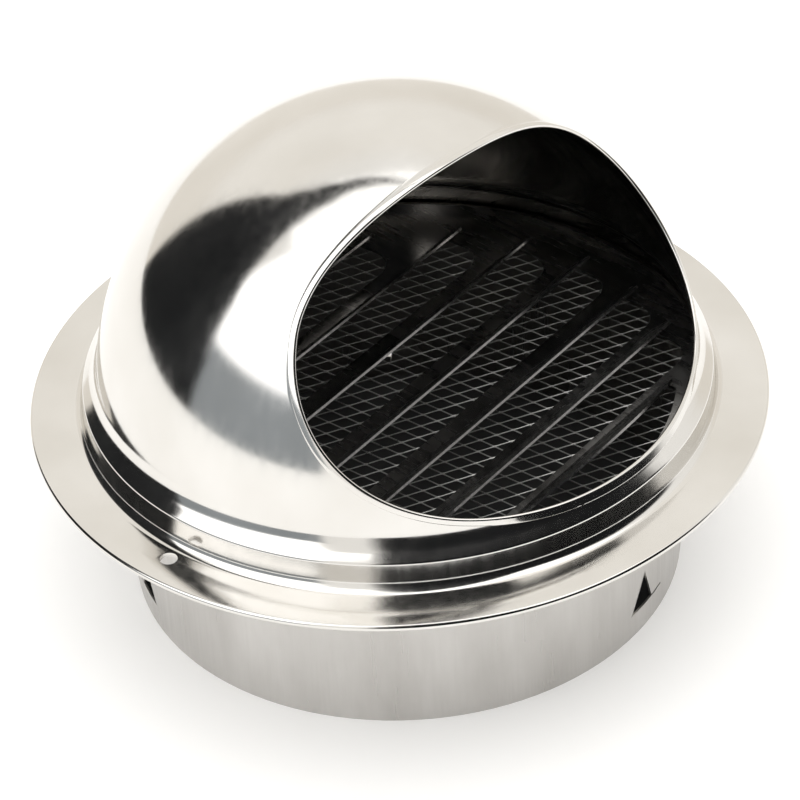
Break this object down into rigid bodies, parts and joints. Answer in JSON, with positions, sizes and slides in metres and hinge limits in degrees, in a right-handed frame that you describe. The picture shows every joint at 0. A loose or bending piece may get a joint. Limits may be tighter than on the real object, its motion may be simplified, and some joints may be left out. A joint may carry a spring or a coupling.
{
  "type": "hooded duct vent",
  "caption": "Polished stainless bull-nose wall vent for a round duct: a half-ball hood with a scooped mouth, fixed louvres, mesh screen, flange and spigot collar.",
  "frame": {"origin": "centre of the collar's end, the lowest point of the vent's axis", "axes": "+Z along the duct's axis to the top of the dome, -Y out of the mouth, +X to the right of someone looking into the mouth"},
  "size_m": [0.1934, 0.1934, 0.1341],
  "materials": {
    "polished_steel": "polished",
    "dull_steel": "satin",
    "mesh_steel": "satin"
  },
  "bodies": {
    "root": {"hood": "polished_steel", "louvre_plate": "dull_steel", "mesh_screen": "mesh_steel", "collar": "dull_steel"}
  },
  "joints": []
}
